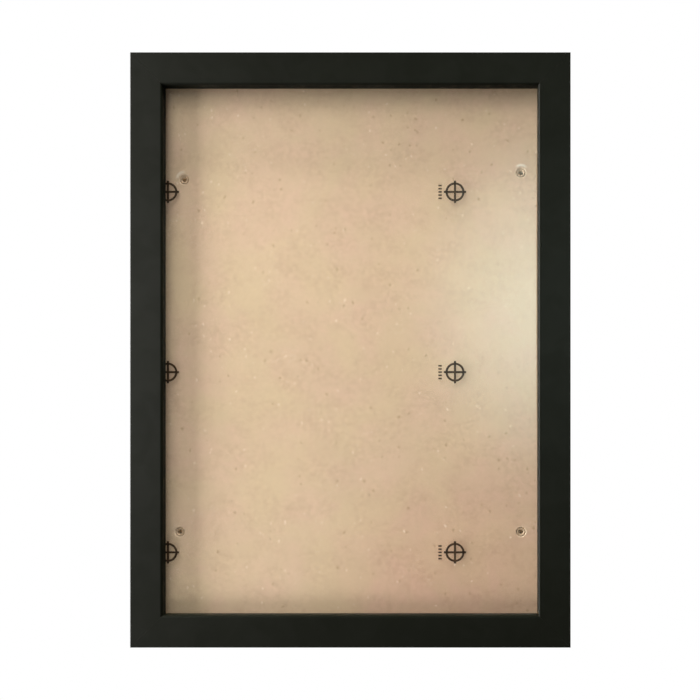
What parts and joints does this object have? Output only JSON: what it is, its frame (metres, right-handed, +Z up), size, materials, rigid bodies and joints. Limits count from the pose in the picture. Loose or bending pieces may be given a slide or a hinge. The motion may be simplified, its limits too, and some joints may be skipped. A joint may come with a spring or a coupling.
{
  "type": "wooden picture frame",
  "caption": "Portrait picture frame for an A4 sheet, of black rebated wooden moulding, with clear glazing, a hardboard back on riveted turn buttons and sawtooth hangers.",
  "frame": {"origin": "the middle notch of the portrait hanger, in the plane of the moulding's back face, where the wall nail carries the frame", "axes": "+X to the right as the picture is seen, +Y from the front to the wall, +Z up"},
  "size_m": [0.239, 0.0202, 0.323],
  "materials": {
    "black_lacquered_wood": "satin black lacquer, bare pale wood in the rebate and on the back",
    "clear_acrylic": "clear, gloss",
    "clear_film": "clear film, soft gloss, with small printed marks",
    "hardboard": "pressed fibre, matt, mottled tan",
    "zinc_plated_steel": "zinc plated, satin",
    "blued_steel": "blued, satin",
    "brass_plated_steel": "brass plated, satin"
  },
  "bodies": {
    "frame": {"top_rail": "black_lacquered_wood", "bottom_rail": "black_lacquered_wood", "left_stile": "black_lacquered_wood", "right_stile": "black_lacquered_wood", "glazing_sheet": "clear_acrylic", "protective_film": "clear_film", "backing_board": "hardboard", "rivet_top_left": "zinc_plated_steel", "rivet_top_right": "zinc_plated_steel", "rivet_bottom_left": "zinc_plated_steel", "rivet_bottom_right": "zinc_plated_steel", "v_nail_top_left_1": "blued_steel", "v_nail_top_left_2": "blued_steel", "v_nail_top_right_1": "blued_steel", "v_nail_top_right_2": "blued_steel", "v_nail_bottom_left_1": "blued_steel", "v_nail_bottom_left_2": "blued_steel", "v_nail_bottom_right_1": "blued_steel", "v_nail_bottom_right_2": "blued_steel", "portrait_hanger": "brass_plated_steel", "landscape_hanger": "brass_plated_steel", "portrait_hanger_nail_a": "blued_steel", "portrait_hanger_nail_b": "blued_steel", "landscape_hanger_nail_a": "blued_steel", "landscape_hanger_nail_b": "blued_steel"},
    "button_top_left": {"turn_button_top_left": "zinc_plated_steel"},
    "button_top_right": {"turn_button_top_right": "zinc_plated_steel"},
    "button_bottom_left": {"turn_button_bottom_left": "zinc_plated_steel"},
    "button_bottom_right": {"turn_button_bottom_right": "zinc_plated_steel"}
  },
  "joints": [
    {"name": "turn_top_left", "type": "hinge", "parent": "frame", "child": "button_top_left", "pos_m": [-0.0923, -0.0082, -0.0581], "axis": [0, 1, 0], "continuous": true},
    {"name": "turn_top_right", "type": "hinge", "parent": "frame", "child": "button_top_right", "pos_m": [0.0933, -0.0082, -0.0543], "axis": [0, 1, 0], "continuous": true},
    {"name": "turn_bottom_left", "type": "hinge", "parent": "frame", "child": "button_bottom_left", "pos_m": [-0.0947, -0.0082, -0.2521], "axis": [0, 1, 0], "continuous": true},
    {"name": "turn_bottom_right", "type": "hinge", "parent": "frame", "child": "button_bottom_right", "pos_m": [0.0933, -0.0082, -0.2521], "axis": [0, 1, 0], "continuous": true}
  ]
}
